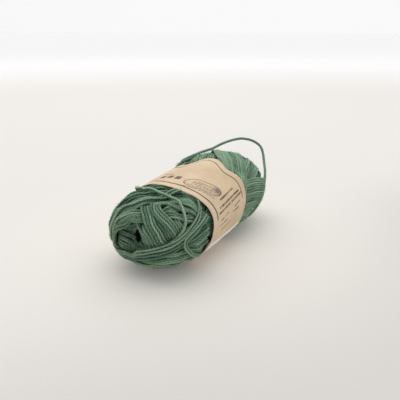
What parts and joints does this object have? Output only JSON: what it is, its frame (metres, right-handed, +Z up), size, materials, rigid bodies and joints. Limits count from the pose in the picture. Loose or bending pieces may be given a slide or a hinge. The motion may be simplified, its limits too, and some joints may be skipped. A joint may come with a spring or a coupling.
{
  "type": "banded skein of cotton yarn",
  "caption": "Oval pull skein of wound green yarn lying on its side, with a kraft paper band round its middle and a slack strand over one end.",
  "frame": {"origin": "on the floor, under the middle of the skein", "axes": "+X along the skein's axis from its near end, with the pull hole, to its far end; +Z up"},
  "size_m": [0.1326, 0.0582, 0.0523],
  "materials": {
    "yarn": "soft matt plied yarn with a slight fuzz",
    "paper": "matt kraft paper with thin dark printed lines",
    "strand": "soft matt plied yarn with a slight fuzz"
  },
  "bodies": {
    "root": {"yarn_skein": "yarn", "paper_band": "paper", "slack_strand": "strand"}
  },
  "joints": []
}
